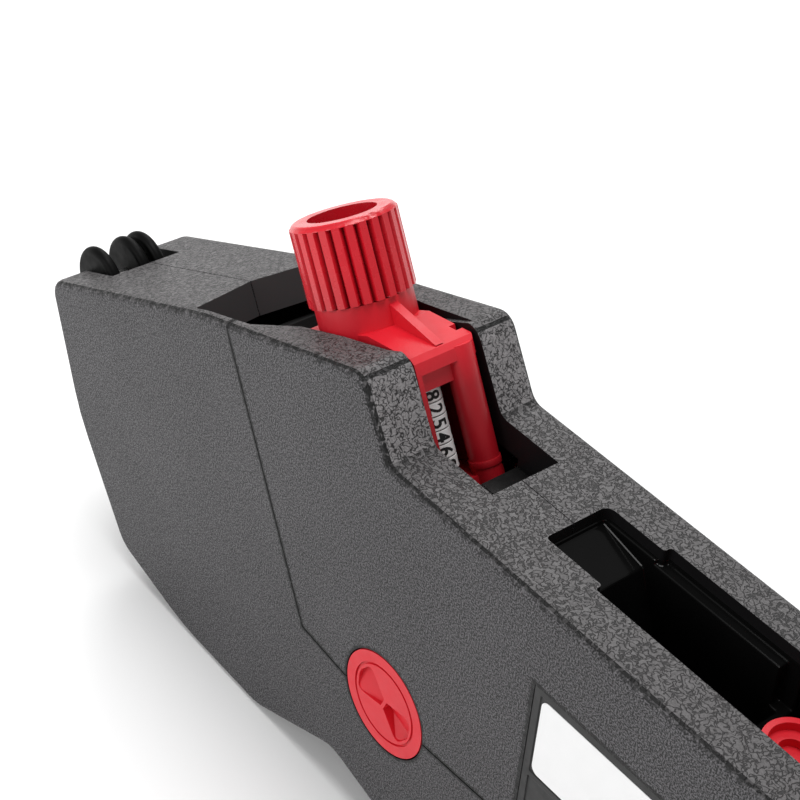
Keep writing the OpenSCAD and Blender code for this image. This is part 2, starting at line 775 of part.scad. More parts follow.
module drive_wheel() color("#2a2a2c") at_head() translate([0, 0, band_mid[bands - 1] - 1]) difference() {
    union() {
        cylinder(r = wheel_r - 1, h = 2);
        for (i = [0:11]) rotate([0, 0, 30 * i]) translate([0, -0.4, 0]) cube([wheel_r - 0.35, 0.8, 2]);
    }
    translate([0, 0, -over]) cylinder(r = shaft_r, h = 5);
}

// Trigger, its link to the print head
trigger_end = grip_len - 12;
nose_r = 5.3;
nose_s = pivot_s - 5.5;
nose_n = -7.5;
nose_front = nose_s - nose_r - 3;
dish_r = nose_r - 1.1;
dish_d = 1.7;
trigger_side = rounded([
    [nose_front, nose_n, 2.4], [pivot_s + 1, nose_n, 3], [pivot_s + 14, 5, 14], [trigger_end - 3, 10, 5],
    [trigger_end, 3, 4], [trigger_end - 6, -4, 6], [pivot_s + 12, -8.5, 8], [pivot_s + 4, -17, 4],
    [nose_front, nose_n - 7.5, 2.4]]);

module trigger() color("#c8202c") at_body() difference() {
    half = well_half - trigger_gap;
    wide = half + 0.4;
    union() {
        intersection() {
            translate([0, mid_y, 0]) rounded_slab(trigger_side, 2 * half, 2);
            translate([0, mid_y, -40]) linear_extrude(80) union() {
                translate([nose_s, 0]) circle(r = nose_r);
                polygon([[nose_s, -nose_r], [nose_s + 12, -wide], [grip_len, -wide],
                         [grip_len, wide], [nose_s + 12, wide], [nose_s, nose_r]]);
            }
        }
        // lower arm
        translate([pivot_s, mid_y + 2, pivot_n]) rotate([0, -(270 + arm_lean), 0])
            box([0, 0, -3], [trigger_arm, 4, 3]);
        bar(arm_end, 3.4, mid_y + 2, link_y - 0.3);
    }
    bar([pivot_s, pivot_n], pin_r + run, -body_w, body_w);
    bar(arm_end, link_pin_r, -body_w, body_w);
    // stepped dish in the rounded front
    translate([nose_s, mid_y, nose_n - dish_d]) cylinder(r = dish_r, h = 10);
    translate([nose_s, mid_y, nose_n - 2 * dish_d]) cylinder(r = dish_r - 1.8, h = 10);
    // hollow underside round the spring
    translate([spring_s, mid_y, -40]) cylinder(r = spring_r + 1.2, h = 40 + spring_top + 0.3);
}

module link_pin() color("silver") at_body() bar(arm_end, link_pin_r, mid_y + 2.2, link_y + link_t);

module drive_link() color("silver") at_body() {
    span = norm(arm_end - link_front);
    lean = atan2(link_front[1] - arm_end[1], link_front[0] - arm_end[0]);
    translate([arm_end[0], link_y, arm_end[1]]) rotate([0, -lean, 0]) difference() {
        union() {
            box([0, 0, -2], [span, link_t, 2]);
            bar([0, 0], 3.2, 0, link_t);
            bar([span, 0], 4.4, 0, link_t);
        }
        bar([0, 0], link_pin_r + run, -over, link_t + over);
        bar([span, 0], 3.2, -over, link_t + over);
    }
}

// Latches
// Scoop along +X, steep on one side of its crease and gentle on the other
module latch_scoop() intersection() {
    translate([0, 0, -scoop_d - over]) linear_extrude(scoop_d + 2 * over)
        polygon(rounded([
            [0.4, -1.2, 0.2], [scoop_r * 0.8, -4.6, 1.2], [scoop_r, 0, 4],
            [scoop_r * 0.8, 4.6, 1.2], [0.4, 1.2, 0.2]]));
    rotate([90, 0, 90]) linear_extrude(scoop_r + over)
        polygon([[-5.2, over], [-5.2, 0.2], [1.9, -scoop_d], [4.9, 0.2], [4.9, over]]);
}

module latch_knob(side) {
    mirror([0, side > 0 ? 0 : 1, 0]) {
        difference() {
            bar([latch_s, latch_n], latch_r, half_in - seat + 0.1, body_w / 2);
            // ring groove and the two scoops that fingers turn it by
            translate([latch_s, body_w / 2 - 0.5, latch_n]) rotate([-90, 0, 0]) difference() {
                cylinder(r = latch_r - 2.4, h = 2);
                translate([0, 0, -over]) cylinder(r = latch_r - 2.9, h = 4);
            }
            for (a = [0, 180])
                translate([latch_s, body_w / 2, latch_n]) rotate([0, scoop_turn + a, 0])
                    rotate([-90, 0, 0]) latch_scoop();
        }
        bar([latch_s, latch_n], latch_bore, lug_in - seat - cam_t, half_in - seat + 0.2);
    }
}

module latch_cam(side) {
    y1 = lug_in - seat;
    mirror([0, side > 0 ? 0 : 1, 0]) difference() {
        union() {
            bar([latch_s, latch_n], latch_bore + 1.6, y1 - cam_t, y1);
            box([latch_s - 2.2, y1 - cam_t, keeper_n - 4.4], [latch_s + 2.2, y1, latch_n]);
            box([latch_s, y1 - cam_t, keeper_n - 4.4], [latch_s + 8, y1, keeper_n - 1.8]);
        }
        bar([latch_s, latch_n], latch_bore, 0, body_w);
    }
}

module latch_knob_right() color("#d0232f") at_body() latch_knob(-1);
module latch_knob_left() color("#d0232f") at_body() latch_knob(1);
module latch_cam_right() color("silver") at_body() latch_cam(-1);
module latch_cam_left() color("silver") at_body() latch_cam(1);

// Applicator discs at the nose tip
module applicator_shaft() color("silver") at_body() {
    bar([disc_s, disc_n], disc_bore, -half_in + 0.3, half_in - 0.3);
}

module applicator_disc(i) color("#161618") at_body() translate([disc_s, disc_y[i - 1], disc_n])
    rotate([-90, 0, 0]) rotate_extrude($fn = 96) difference() {
        union() {
            translate([0, -disc_w / 2]) square([disc_r - disc_w / 2, disc_w]);
            translate([disc_r - disc_w / 2, 0]) circle(r = disc_w / 2);
        }
        translate([-over, -disc_w]) square([disc_bore + over, 2 * disc_w]);
    }

module roll_hub() color("#2a2a2c") at_body() difference() {
    union() {
        bar([roll_s, roll_n], hub_r, -hub_seat + 0.8, hub_seat - 0.8);
        for (y = [-hub_seat + 0.3, hub_seat - 1.7]) bar([roll_s, roll_n], hub_r + 4, y, y + 1.4);
    }
    bar([roll_s, roll_n], hub_r - 2, -body_w, -2);
    bar([roll_s, roll_n], hub_r - 2, 2, body_w);
    bar([roll_s, roll_n], pin_r + run, -body_w, body_w);
}

main_housing_right();
main_housing_left();
well_liner();
label_panel();
head_rail_right();
head_rail_left();
roll_spindle();
trigger_pin();
trigger_spring();
hinge_pin();
housing_screws();
front_cover_right();
front_cover_left();
platen();
label_guide();
peel_bar();
feed_shaft();
ink_pin();
cover_screws();
head_frame();
type_anvil();
idler_pin();
band_bar();
number_band(1);  // number_band_1
number_band(2);  // number_band_2
number_band(3);  // number_band_3
number_band(4);  // number_band_4
number_band(5);  // number_band_5
number_band(6);  // number_band_6
number_band(7);  // number_band_7
number_band(8);  // number_band_8
selector_sleeve();
knob();
knob_shaft();
drive_wheel();
trigger();
link_pin();
drive_link();
latch_knob_right();
latch_cam_right();
latch_knob_left();
latch_cam_left();
applicator_shaft();
applicator_disc(1);  // applicator_disc_1
applicator_disc(2);  // applicator_disc_2
applicator_disc(3);  // applicator_disc_3
feed_wheel();
ink_arm();
ink_axle();
ink_roller();
roll_hub();
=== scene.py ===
"""Looks of a hand-held price labeler: finishes, printed digits, blank label, light and camera."""
import functools
import json
import math

import bmesh
import bpy
from mathutils import Matrix, Vector


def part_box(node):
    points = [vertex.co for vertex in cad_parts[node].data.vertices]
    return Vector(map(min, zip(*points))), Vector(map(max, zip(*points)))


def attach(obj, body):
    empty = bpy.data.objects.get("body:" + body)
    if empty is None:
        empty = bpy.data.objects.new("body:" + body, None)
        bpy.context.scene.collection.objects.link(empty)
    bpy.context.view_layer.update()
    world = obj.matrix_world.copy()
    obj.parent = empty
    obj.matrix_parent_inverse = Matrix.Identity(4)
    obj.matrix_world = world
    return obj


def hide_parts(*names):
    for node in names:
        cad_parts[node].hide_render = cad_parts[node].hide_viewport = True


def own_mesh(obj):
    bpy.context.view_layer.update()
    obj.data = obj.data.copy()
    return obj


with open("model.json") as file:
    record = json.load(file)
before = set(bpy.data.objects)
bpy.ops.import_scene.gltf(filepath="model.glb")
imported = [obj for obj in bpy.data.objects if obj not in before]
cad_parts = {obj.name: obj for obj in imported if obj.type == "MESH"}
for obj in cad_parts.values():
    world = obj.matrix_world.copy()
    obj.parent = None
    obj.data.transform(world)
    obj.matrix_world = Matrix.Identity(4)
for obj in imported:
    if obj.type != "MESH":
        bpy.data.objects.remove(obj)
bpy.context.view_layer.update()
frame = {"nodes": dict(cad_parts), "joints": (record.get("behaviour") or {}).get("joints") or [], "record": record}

MM = 0.001


def mm(*values):
    """Millimetres to metres."""
    return tuple(value * MM for value in values)


# Places are in millimetres from the foot of the step behind the print head:
# s to the rear, y to the left, n up. The head's own frame has x, y and z from the knob's joint,
# with z along the knob's axis.
KNOB_AT = (-29.0, 0.8, 6.05)
HEAD_LEAN = math.radians(28.7)
KNOB_GROOVE_R = 8.9
KNOB_CREST_R = 9.7
KNOB_CUP_R = 6.9
KNOB_CUP_WALL = 0.5

# In the side view, by s and n: the latch, and the seam between housing and cover
LATCH = (4.1, -54.7)
LATCH_R = 11.1
SEAM = [(-50.2, 3), (-21.4, -55.6), (-8, -57), (34, -53.6)]

# Camera, fitted to the photo
CAMERA_AT = (183.9, -177.8, 207.9)
CAMERA_FORWARD = (-0.588825, 0.518775, -0.619804)
CAMERA_RIGHT = (0.618651, 0.782766, 0.067443)
CAMERA_CLIP = (0.01, 50)
FOCAL_PIXELS = 1895.3
FRAME_PIXELS = 800
SENSOR = 36.0

# Light: each sun's name, the way it comes from, its strength, and the degrees of sky it spans
SUNS = (
    ("top", (-0.1, 0.1, 1.44), 2.0, 35),
    ("far_side", (-0.9, 0.8, 0.89), 1.0, 30),
    ("near_side", (-0.3, -1.2, 0.64), 1.12, 32))
WORLD_STRENGTH = 0.4
FLOOR_SIZE = 40.0

PANEL_LOW, PANEL_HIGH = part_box("label_panel")
JOINTS = {j["name"]: j for j in frame["joints"]}
KNOB = Vector(JOINTS["knob_spin"]["pos_m"])
ORIGIN = KNOB - Vector(KNOB_AT) * MM
HEAD_X = Vector((math.cos(HEAD_LEAN), 0, math.sin(HEAD_LEAN)))
HEAD_Y = Vector((0, 1, 0))
HEAD_Z = Vector((-math.sin(HEAD_LEAN), 0, math.cos(HEAD_LEAN)))


def place(s, y, n):
    """A point in the row frame, in metres, from s, y and n in millimetres."""
    return ORIGIN + Vector((s, y, n)) * MM


def side_view(point):
    """s and n, in millimetres, of a point in the row frame."""
    d = (point - ORIGIN) / MM
    return d.x, d.z


def in_head(point):
    """x, y and z in the print head's own frame, in millimetres, of a point in the row frame."""
    d = (point - KNOB) / MM
    return d.dot(HEAD_X), d.dot(HEAD_Y), d.dot(HEAD_Z)


(S0, N0), (S1, N1) = side_view(PANEL_LOW), side_view(PANEL_HIGH)
PANEL = [(S0, N0), (S1, N0), (S1, N1), (S0, N1), (S0, N0)]


def in_scene(name, data):
    """A new object, linked to the scene."""
    obj = bpy.data.objects.new(name, data)
    bpy.context.scene.collection.objects.link(obj)
    return obj


def mesh_object(name, bm, material):
    """A new mesh object of one material, made from bm, which is freed."""
    mesh = bpy.data.meshes.new(name)
    bm.to_mesh(mesh)
    bm.free()
    mesh.materials.append(material)
    return in_scene(name, mesh)


# Materials

NOISE_BAND = (0.3, 0.7)


class Finish:
    """A node material: a Principled shader whose sockets are fed by procedural textures."""

    def __init__(self, name, **sockets):
        self.mat = bpy.data.materials.new(name)
        self.mat.use_nodes = True
        self.nodes = self.mat.node_tree.nodes
        self.links = self.mat.node_tree.links
        self.shader = self.nodes["Principled BSDF"]
        for key, value in sockets.items():
            self.shader.inputs[key.replace("_", " ")].default_value = value
        texture = self.nodes.new("ShaderNodeTexCoord")
        self.coords = texture.outputs["Object"]
        self.normals = texture.outputs["Normal"]

    def link(self, source, target):
        self.links.new(source, target)

    def feed(self, socket, source):
        """Links a source to one of the shader's sockets."""
        self.link(source, self.shader.inputs[socket])

    def mapped(self, scale):
        node = self.nodes.new("ShaderNodeMapping")
        node.inputs["Scale"].default_value = scale
        self.link(self.coords, node.inputs["Vector"])
        return node.outputs["Vector"]

    def split(self, vector):
        node = self.nodes.new("ShaderNodeSeparateXYZ")
        self.link(vector, node.inputs["Vector"])
        return [node.outputs[axis] for axis in "XYZ"]

    def noise(self, scale, detail=3.0, distortion=0.0, vector=None):
        node = self.nodes.new("ShaderNodeTexNoise")
        node.inputs["Scale"].default_value = scale
        node.inputs["Detail"].default_value = detail
        node.inputs["Distortion"].default_value = distortion
        self.link(vector or self.coords, node.inputs["Vector"])
        return node.outputs["Fac"]

    def span(self, source, low, high, band=(0.0, 1.0)):
        """From low to high while the source crosses a band of values."""
        node = self.nodes.new("ShaderNodeMapRange")
        node.inputs["From Min"].default_value, node.inputs["From Max"].default_value = band
        node.inputs["To Min"].default_value = low
        node.inputs["To Max"].default_value = high
        self.link(source, node.inputs["Value"])
        return node.outputs["Result"]

    def rise(self, source, band):
        return self.span(source, 0.0, 1.0, band)

    def fall(self, source, band):
        return self.span(source, 1.0, 0.0, band)

    def math(self, kind, a, b):
        node = self.nodes.new("ShaderNodeMath")
        node.operation = kind
        for socket, value in zip(node.inputs, (a, b)):
            if isinstance(value, (int, float)):
                socket.default_value = value
            else:
                self.link(value, socket)
        return node.outputs["Value"]

    def fold(self, kind, sources):
        return functools.reduce(lambda a, b: self.math(kind, a, b), sources)

    def product(self, *sources):
        return self.fold("MULTIPLY", sources)

    def largest(self, *sources):
        return self.fold("MAXIMUM", sources)

    def absolute(self, source):
        return self.math("ABSOLUTE", source, 0.0)

    def dot(self, vector, way):
        node = self.nodes.new("ShaderNodeVectorMath")
        node.operation = "DOT_PRODUCT"
        self.link(vector, node.inputs[0])
        node.inputs[1].default_value = way
        return node.outputs["Value"]

    def from_point(self, point):
        node = self.nodes.new("ShaderNodeVectorMath")
        node.operation = "SUBTRACT"
        self.link(self.coords, node.inputs[0])
        node.inputs[1].default_value = point
        return node.outputs["Vector"]

    def from_axis(self, point, across, up):
        """Distance, in metres, from an axis through a point, square to two directions."""
        away = self.from_point(point)
        squares = [self.math("POWER", self.dot(away, way), 2.0) for way in (across, up)]
        return self.math("POWER", self.math("ADD", *squares), 0.5)

    def near_line(self, start, end):
        """Distance, in metres, from a straight line between two places in the side view."""
        a = place(start[0], 0, start[1])
        b = place(end[0], 0, end[1])
        way = (b - a).normalized()
        across = Vector((-way.z, 0, way.x))
        off = self.math("SUBTRACT", self.dot(self.coords, across), a.dot(across))
        along_it = self.math("SUBTRACT", self.dot(self.coords, way), (a + b).dot(way) / 2)
        past = self.math("SUBTRACT", self.absolute(along_it), (b - a).length / 2)
        return self.largest(self.absolute(off), past)

    def near_path(self, places):
        """Distance, in metres, from straight lines through places in the side view."""
        lines = zip(places, places[1:])
        return self.fold("MINIMUM", [self.near_line(start, end) for start, end in lines])

    def blend(self, factor, a, b):
        node = self.nodes.new("ShaderNodeMix")
        node.data_type = "FLOAT"
        self.link(factor, node.inputs["Factor"])
        self.link(a, node.inputs["A"])
        self.link(b, node.inputs["B"])
        return node.outputs["Result"]

    def bump(self, height, strength, depth_mm):
        node = self.nodes.new("ShaderNodeBump")
        node.inputs["Strength"].default_value = strength
        node.inputs["Distance"].default_value = depth_mm * MM
        self.link(height, node.inputs["Height"])
        self.feed("Normal", node.outputs["Normal"])

    def tint(self, source, low, high):
        """Base colour between two tones, while the source goes from 0 to 1."""
        node = self.nodes.new("ShaderNodeValToRGB")
        for element, tone in zip(node.color_ramp.elements, (low, high)):
            element.color = tone
        self.link(source, node.inputs["Fac"])
        self.feed("Base Color", node.outputs["Color"])

    def colour(self, source, low, high):
        """Base colour that wanders between two tones."""
        self.tint(self.rise(source, NOISE_BAND), low, high)

    def roughness(self, source, low, high):
        self.feed("Roughness", self.span(source, low, high, NOISE_BAND))


def grey(value, warm=0.0):
    return (value * (1 + warm), value, value * (1 - warm), 1.0)


# Housing: where its finish changes, each as the start and end of a soft change.
# By place, along s, y or n
HEAD_WALL_S, HEAD_WALL_N = mm(-45, -40), mm(-30, -25)
HEAD_FLOOR_S, HEAD_FLOOR_N = mm(-8, -6), mm(-4, -3)
WELL_FRONT_S, WELL_REAR_S = mm(8, 10), mm(110, 115)
STEP_S = mm(15, 20)
GRIP_S = mm(-2, 6)
PANEL_SIDE_Y = mm(-10, -5)
# By y times the normal's y, which is below zero on walls that face the middle
FACES_MIDDLE = mm(-4, -1)
# By the distance from a line: painted shadow lines beside the seam and round the panel and the latch
SEAM_MARK = mm(0.45, 0.95)
PANEL_MARK = mm(0.6, 1.2)
LATCH_MARK = mm(LATCH_R + 0.5, LATCH_R + 1.2)
# By a part of the normal
FACING = (0.5, 0.7)
SIDE_FACING = (0.55, 0.95)
# painted shade: dark bands along rounded edges and along the step's edge, by the normal
EDGE_FROM, EDGE_TO = (0.36, 0.6), (0.7, 0.93)
STEP_EDGE_FROM, STEP_EDGE_TO = (0.24, 0.38), (0.42, 0.56)
# By a noise, or by a mark with noise added
MARK_BAND = (0.3, 0.8)
WRINKLE_BAND = (0.015, 0.075)
TOP_GRAIN_BAND = (0.35, 0.65)
SIDE_GRAIN_BAND = (0.42, 0.62)

# Housing: tones, and factors on them
TOP_TONES = (0.013, 0.106)
SIDE_TONES = (0.0, 0.107)
SIDE_DRIFT = 0.005
# inside tone: partly the inside's own smooth black finish, partly painted shade of the recesses
INNER_TONE = 0.008
HEAD_WALL_TONE = 0.045
TOP_GRAIN = (0.8, 1.2)
# painted light: how much lighter the rear step's rear-facing face is painted
REAR_STEP_PAINTED_LIGHT = 1.15
# painted shade: the share of tone kept on the grip's top, behind the nose
GRIP_PAINTED_SHADE = 0.8
# painted shade and shadow lines: how dark they get, and how ragged
MARK_SHADE = 0.04
MARK_RAGGED = 0.3
GREEN_SHARE = 0.955
BLUE_SHARE = (0.97, 1.02)
OUTER_SHINE, INNER_SHINE = 0.3, 0.12
INNER_SMOOTHER = 0.12


def housing_plastic():
    """Charcoal plastic: fine grain on the sides, wrinkled tops and ends, smooth inside walls, with painted shade
    and light.
    """
    f = Finish("housing_plastic")
    x, y, z = f.split(f.coords)
    nx, ny, nz = f.split(f.normals)
    s = f.math("SUBTRACT", x, ORIGIN.x)
    n = f.math("SUBTRACT", z, ORIGIN.z)
    faces_rear = f.rise(nx, FACING)
    lean = f.absolute(ny)
    side = f.rise(lean, SIDE_FACING)
    fine = f.noise(3000, detail=1.0)
    swirl = f.noise(1050, detail=1.0, distortion=0.6)

    # inside: walls that face the middle, the wall before the head, the front of the trigger well
    # and the floor behind the head
    head_wall = f.product(f.fall(s, HEAD_WALL_S), f.rise(n, HEAD_WALL_N))
    well = f.product(f.rise(s, WELL_FRONT_S), f.fall(s, WELL_REAR_S))
    head_floor = f.product(f.fall(n, HEAD_FLOOR_N), f.rise(s, HEAD_FLOOR_S))
    # the inside is smoother and near black: partly its own black finish, partly painted shade of the recesses
    inner = f.largest(
        f.fall(f.product(y, ny), FACES_MIDDLE),
        f.product(faces_rear, f.largest(head_wall, well)),
        f.product(f.rise(nz, FACING), head_floor))
    outer = f.math("SUBTRACT", 1.0, inner)

    # painted shade in ragged dark lines along rounded edges and the step's edge, and painted shadow in the gaps
    # round panel and latch and beside the seam
    from_latch = f.from_axis(place(LATCH[0], 0, LATCH[1]), (1, 0, 0), (0, 0, 1))
    painted_shade_lines = f.largest(
        f.product(f.rise(lean, EDGE_FROM), f.fall(lean, EDGE_TO)),
        f.product(f.rise(nx, STEP_EDGE_FROM), f.fall(nx, STEP_EDGE_TO), f.fall(s, STEP_S)),
        f.product(f.fall(f.near_path(PANEL), PANEL_MARK), f.fall(y, PANEL_SIDE_Y)),
        f.fall(from_latch, LATCH_MARK),
        f.fall(f.near_path(SEAM), SEAM_MARK))
    ragged = f.span(swirl, -MARK_RAGGED, MARK_RAGGED, NOISE_BAND)
    painted_shade_lines = f.span(f.math("ADD", painted_shade_lines, ragged), 1.0, MARK_SHADE, MARK_BAND)

    # tops carry thin dark wrinkles, sides a fine grain; the tops are the warmer grey
    plateau = f.rise(f.absolute(f.math("SUBTRACT", swirl, 0.5)), WRINKLE_BAND)
    # painted light: the rear-facing face of the rear step is painted lighter
    rear_step_painted_light = f.product(f.span(nx, 0.0, REAR_STEP_PAINTED_LIGHT, FACING), f.fall(s, STEP_S))
    # painted shade: the tops behind the step are painted darker than the nose's top
    tops = f.product(
        f.span(plateau, *TOP_TONES),
        f.span(fine, *TOP_GRAIN, TOP_GRAIN_BAND),
        f.math("ADD", rear_step_painted_light, 1.0),
        f.span(s, 1.0, GRIP_PAINTED_SHADE, GRIP_S))
    drift = f.span(f.noise(40), -SIDE_DRIFT, SIDE_DRIFT, NOISE_BAND)
    sides = f.math("ADD", f.span(fine, *SIDE_TONES, SIDE_GRAIN_BAND), drift)
    tone = f.product(f.blend(side, tops, sides), painted_shade_lines, outer)
    inside = f.math(
        "ADD", f.span(inner, 0.0, INNER_TONE), f.product(faces_rear, head_wall, HEAD_WALL_TONE))
    tone = f.math("ADD", tone, inside)

    base = f.nodes.new("ShaderNodeCombineColor")
    f.link(tone, base.inputs["Red"])
    f.link(f.product(tone, GREEN_SHARE), base.inputs["Green"])
    f.link(f.product(tone, f.span(side, *BLUE_SHARE)), base.inputs["Blue"])
    f.feed("Base Color", base.outputs["Color"])
    f.feed("Specular IOR Level", f.span(inner, OUTER_SHINE, INNER_SHINE))
    rough = f.span(swirl, 0.42, 0.58, NOISE_BAND)
    f.feed("Roughness", f.math("SUBTRACT", rough, f.span(inner, 0.0, INNER_SMOOTHER)))
    f.bump(f.product(f.blend(side, plateau, fine), outer), strength=0.6, depth_mm=0.18)
    return f.mat


BLACK = (0.0, 0.0, 0.0, 1)
RED = (0.64, 0.010, 0.022, 1)
# Painted shade on the red: the share of its colour kept in the knob's grooves and cup, and deep in the head's slot
GROOVE_LIGHT = 0.4
CUP_LIGHT = 0.75
RIM_FACING = (0.5, 0.8)
DEEP_LIGHT = 0.56
DEEP_Z = mm(-12, -5)


def knob_light(f):
    """Painted shade: the knob's grooves and cup are painted darker than its crests and its up-facing rim."""
    radius = f.from_axis(KNOB, HEAD_X, HEAD_Y)
    crest = f.span(radius, GROOVE_LIGHT, 1.0, mm(KNOB_GROOVE_R, KNOB_CREST_R))
    cup = f.span(radius, CUP_LIGHT, 0.0, mm(KNOB_CUP_R, KNOB_CUP_R + KNOB_CUP_WALL))
    return f.largest(crest, cup, f.rise(f.dot(f.normals, HEAD_Z), RIM_FACING))


def head_light(f):
    """Painted shade: the head's walls are painted darker below its plate, deep in the slot."""
    return f.span(f.dot(f.from_point(KNOB), HEAD_Z), DEEP_LIGHT, 1.0, DEEP_Z)


def red_plastic(name, light=None, shine=0.36, rough=0.36):
    """Moulded red plastic, its colour darkened as painted shade where the factor light(f) is below one."""
    f = Finish(name, Specular_IOR_Level=shine)
    mottle = f.span(f.noise(120), 0.92, 1.04, NOISE_BAND)
    if light:
        mottle = f.product(mottle, light(f))
    f.tint(mottle, BLACK, RED)
    f.roughness(f.noise(400), rough, rough + 0.12)
    f.bump(f.noise(1800, detail=2.0), strength=0.12, depth_mm=0.1)
    return f.mat


def plain(name, tones, rough, relief=None, **sockets):
    """A finish of plain noises: each has its scale and detail, then the ends of what it varies.

    The relief has its strength and its depth in millimetres in their place.
    """
    f = Finish(name, **sockets)
    scale, detail, low, high = tones
    f.colour(f.noise(scale, detail), low, high)
    scale, detail, low, high = rough
    f.roughness(f.noise(scale, detail), low, high)
    if relief:
        scale, detail, strength, depth = relief
        f.bump(f.noise(scale, detail), strength, depth)
    return f.mat


def satin_black(name, tone, rough, shine):
    return plain(
        name, (80, 3, grey(tone), grey(tone * 1.4)), (500, 3, rough - 0.06, rough + 0.08),
        (1600, 2, 0.15, 0.1), Specular_IOR_Level=shine)


def steel():
    f = Finish("steel", Metallic=1.0)
    brushed = f.noise(500, vector=f.mapped((4.0, 0.15, 4.0)))
    f.colour(brushed, grey(0.48, 0.01), grey(0.6, 0.01))
    f.roughness(brushed, 0.22, 0.4)
    f.bump(brushed, strength=0.1, depth_mm=0.05)
    return f.mat


FINISHES = {
    "housing_plastic": housing_plastic(),
    "red_plastic": red_plastic("red_plastic"),
    "black_plastic": plain(
        "gloss_black", (60, 3, grey(0.002), grey(0.004)), (140, 4, 0.1, 0.17),
        (220, 2, 0.05, 0.2), Specular_IOR_Level=0.15),
    "dark_plastic": satin_black("dark_plastic", tone=0.012, rough=0.45, shine=0.35),
    "steel": steel(),
    "band_rubber": plain(
        "band_rubber", (300, 4, grey(0.62, 0.01), grey(0.78, 0.01)), (700, 3, 0.45, 0.6),
        (2500, 2, 0.1, 0.05), Specular_IOR_Level=0.35),
    "ink_felt": plain(
        "ink_felt", (900, 5, (0.012, 0.012, 0.04, 1), (0.03, 0.03, 0.08, 1)),
        (900, 5, 0.8, 0.95), (2600, 4, 0.6, 0.2), Sheen_Weight=0.3),
    "pale_plastic": plain(
        "pale_plastic", (100, 3, (0.60, 0.57, 0.50, 1), (0.70, 0.67, 0.60, 1)),
        (500, 3, 0.35, 0.5), (1500, 2, 0.1, 0.1), Specular_IOR_Level=0.5),
    "disc_rubber": satin_black("disc_rubber", tone=0.002, rough=0.48, shine=0.07),
}
KNOB_RED = red_plastic("knob_plastic_painted_shade", knob_light, shine=0.55, rough=0.2)
HEAD_RED = red_plastic("head_plastic_painted_shade", head_light)
PAPER = plain(
    "label_paper", (250, 4, grey(0.80), grey(0.82)), (600, 3, 0.3, 0.42),
    (1200, 3, 0.08, 0.05), Specular_IOR_Level=0.5)
PRINT = plain(
    "print_black", (900, 3, grey(0.006), grey(0.018)), (900, 3, 0.5, 0.7),
    Specular_IOR_Level=0.3)

# Rounding of each node's sharp edges, in millimetres, by its material
EDGE = {
    "housing_plastic": 0.2, "red_plastic": 0.3, "black_plastic": 0.3, "dark_plastic": 0.15,
    "steel": 0.12, "band_rubber": 0.06, "ink_felt": 0.2, "pale_plastic": 0.15,
    "disc_rubber": 0.15}
EDGE_SEGMENTS = 2
SHARP = math.radians(28)
FLAT = math.radians(0.6)
WELD = 2e-6


def finish_node(obj, slot, finish=None):
    """Welds the node's seams, rounds its sharp edges and gives it its finish."""
    weld = obj.modifiers.new("weld", "WELD")
    weld.merge_threshold = WELD
    flat = obj.modifiers.new("flat", "DECIMATE")
    flat.decimate_type = "DISSOLVE"
    flat.angle_limit = FLAT
    bevel = obj.modifiers.new("bevel", "BEVEL")
    bevel.width = EDGE[slot] * MM
    bevel.segments = EDGE_SEGMENTS
    bevel.limit_method = "ANGLE"
    bevel.angle_limit = SHARP
    bevel.miter_outer = "MITER_ARC"
    obj.modifiers.new("normals", "WEIGHTED_NORMAL").keep_sharp = True
    obj.data.materials.clear()
    obj.data.materials.append(finish or FINISHES[slot])


for part in frame["record"]["subparts"]:
    finish_node(frame["nodes"][part["node"]], part["material_slot"])


# Copies that stand for a node

def stand_in(node, body, slot, lift=None, finish=None):
    """A copy of a node, its points raised along the knob's axis by lift(x, y, z) millimetres."""
    obj = in_scene(node + "_dressed", frame["nodes"][node].data.copy())
    if lift:
        for v in obj.data.vertices:
            v.co += HEAD_Z * lift(*in_head(v.co)) * MM
    finish_node(obj, slot, finish)
    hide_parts(node)
    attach(obj, body)
    return obj


# The head's sloping plate, and the ends of the side walls that stand up through it
PLATE_FRONT = 9.2
PLATE_FALL = 3.5 / 11.3
WALL_END_X = (12, 19.6)
WALL_END_Y = 5.5
WALL_END_Z = -3.5
WALL_SINK = 0.01

# The knob's rim and the chamfer under it: how far below the top they reach and how far they drop
KNOB_TOP = max(in_head(v.co)[2] for v in frame["nodes"]["knob"].data.vertices)
RIM_REACH, RIM_DROP = 0.6, 0.8
CHAMFER_REACH, CHAMFER_DROP = 2, 0.4


def onto_plate(x, y, z):
    """The ends of the side walls sink into the sloping plate."""
    if not (WALL_END_X[0] < x < WALL_END_X[1] and abs(y) > WALL_END_Y and z > WALL_END_Z):
        return 0.0
    slope = -(x - PLATE_FRONT) * PLATE_FALL
    return min(0.0, slope - WALL_SINK - z)


def knob_rim(x, y, z):
    """A lower rim with a narrower chamfer."""
    if z > KNOB_TOP - RIM_REACH:
        return -RIM_DROP
    return -CHAMFER_DROP if z > KNOB_TOP - CHAMFER_REACH else 0.0


stand_in("head_frame", "print_head", "red_plastic", onto_plate, HEAD_RED)
stand_in("knob", "price_knob", "red_plastic", knob_rim, KNOB_RED)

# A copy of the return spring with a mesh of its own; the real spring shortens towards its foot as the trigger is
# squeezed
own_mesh(stand_in("trigger_spring", "housing", "steel"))


# Digits on the number bands

DIGIT_H = 3.3
DIGIT_NARROW = 0.8
DIGIT_STEP = 4.2
DIGIT_LIFT = 0.03
GLYPH_CUTS = 14
GLYPH_STEPS = 3
GLYPH_BOLD = 0.025
WINDOW_AT = -0.3
WINDOW_TILT = 0.02
SETTING = ["0", "0", "8", "2", "5", "4", "6", "9"]


